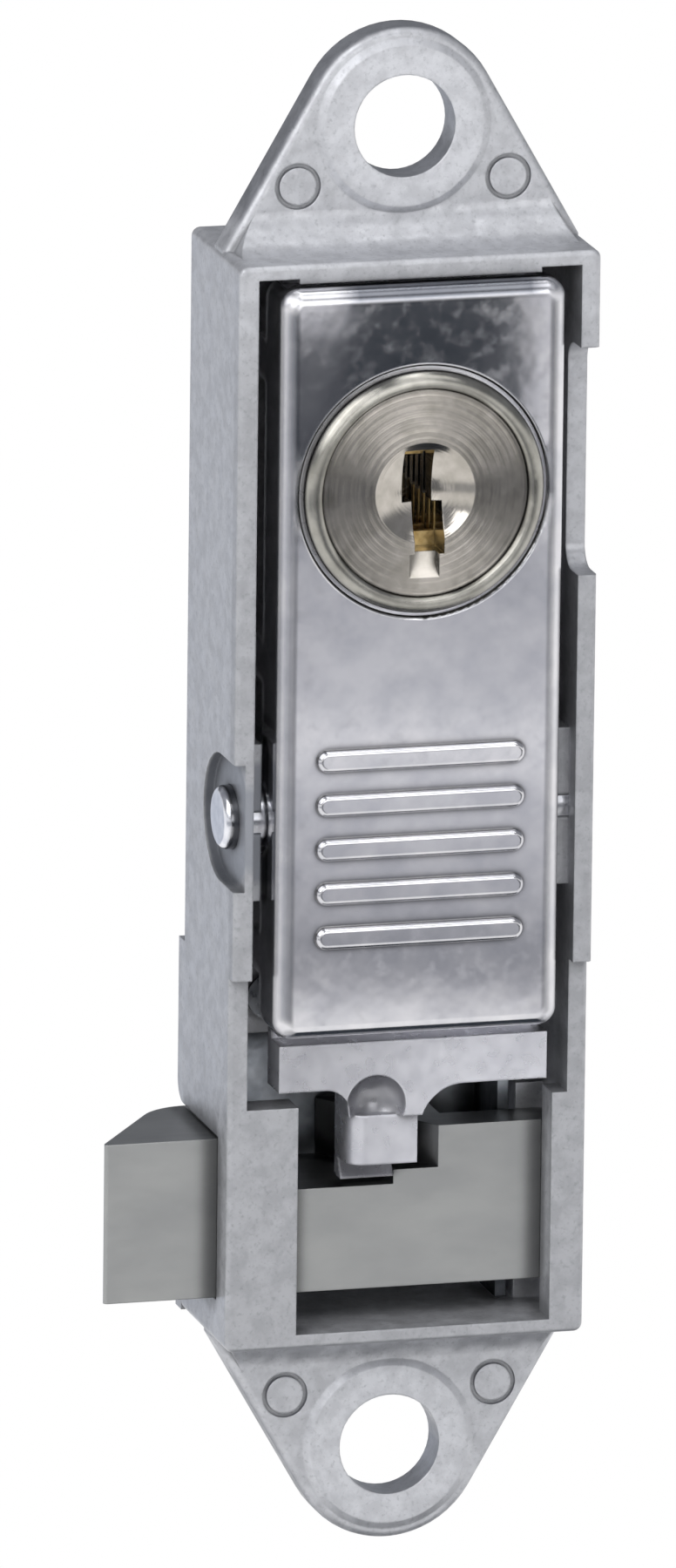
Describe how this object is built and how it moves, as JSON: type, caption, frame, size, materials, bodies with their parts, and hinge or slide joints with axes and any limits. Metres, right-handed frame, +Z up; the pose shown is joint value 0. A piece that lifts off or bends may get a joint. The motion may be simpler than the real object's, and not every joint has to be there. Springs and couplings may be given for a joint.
{
  "type": "panel lock",
  "caption": "Flush panel lock: a cast housing with two mounting ears, a keyed paddle handle under a bright ribbed cover, and a bevelled sliding bolt.",
  "frame": {"origin": "midway between the two mounting holes, on the plane of the raised seats around them", "axes": "+Z up along the line of the mounting holes, -Y out of the front, +X to the right seen from the front"},
  "size_m": [0.0336, 0.0162, 0.1064],
  "materials": {
    "zinc_casting": "bare zinc die casting, light grey, slightly mottled",
    "handle_casting": "bare zinc die casting, smooth, light grey",
    "bright_sheet": "polished bright pressed sheet",
    "bolt_steel": "smooth warm grey",
    "plated_sheet": "zinc-plated sheet steel",
    "plated_steel": "zinc-plated steel",
    "pin_steel": "bright drawn steel",
    "spring_wire": "drawn spring wire",
    "satin_nickel": "satin nickel plate on brass, turned face",
    "plug_nickel": "satin nickel plate on brass, turned face",
    "wafer_brass": "plain stamped brass"
  },
  "bodies": {
    "frame": {"housing": "zinc_casting", "back_plate": "plated_sheet", "plate_rivets": "plated_steel", "bolt_spring": "spring_wire", "pivot_pin": "pin_steel"},
    "handle": {"handle_body": "handle_casting", "handle_cover": "bright_sheet", "handle_spring": "spring_wire", "cylinder_shell": "satin_nickel", "cylinder_clip": "plated_sheet"},
    "key_plug": {"plug": "plug_nickel", "wafer_1": "wafer_brass", "wafer_2": "wafer_brass", "wafer_3": "wafer_brass", "wafer_4": "wafer_brass", "wafer_5": "wafer_brass", "lock_cam": "plated_sheet", "cam_washer": "plated_steel", "cam_screw": "plated_steel"},
    "bolt": {"latch_bolt": "bolt_steel"}
  },
  "joints": [
    {"name": "handle_pivot", "type": "hinge", "parent": "frame", "child": "handle", "pos_m": [0, -0.0008, -0.001], "axis": [1, 0, 0], "range_deg": [0, 17], "stiffness_Nm_per_rad": 0.03, "springref_deg": -85.94},
    {"name": "bolt_slide", "type": "slide", "parent": "frame", "child": "bolt", "axis": [1, 0, 0], "range_m": [0, 0.0038], "stiffness_N_per_m": 200, "springref_m": -0.01},
    {"name": "plug_turn", "type": "hinge", "parent": "handle", "child": "key_plug", "pos_m": [0, 0, 0.0223], "axis": [0, 1, 0], "range_deg": [0, 90]}
  ],
  "couplings": [
    {"joint": "bolt_slide", "follows": "handle_pivot", "m_per_rad": 0.0128}
  ]
}
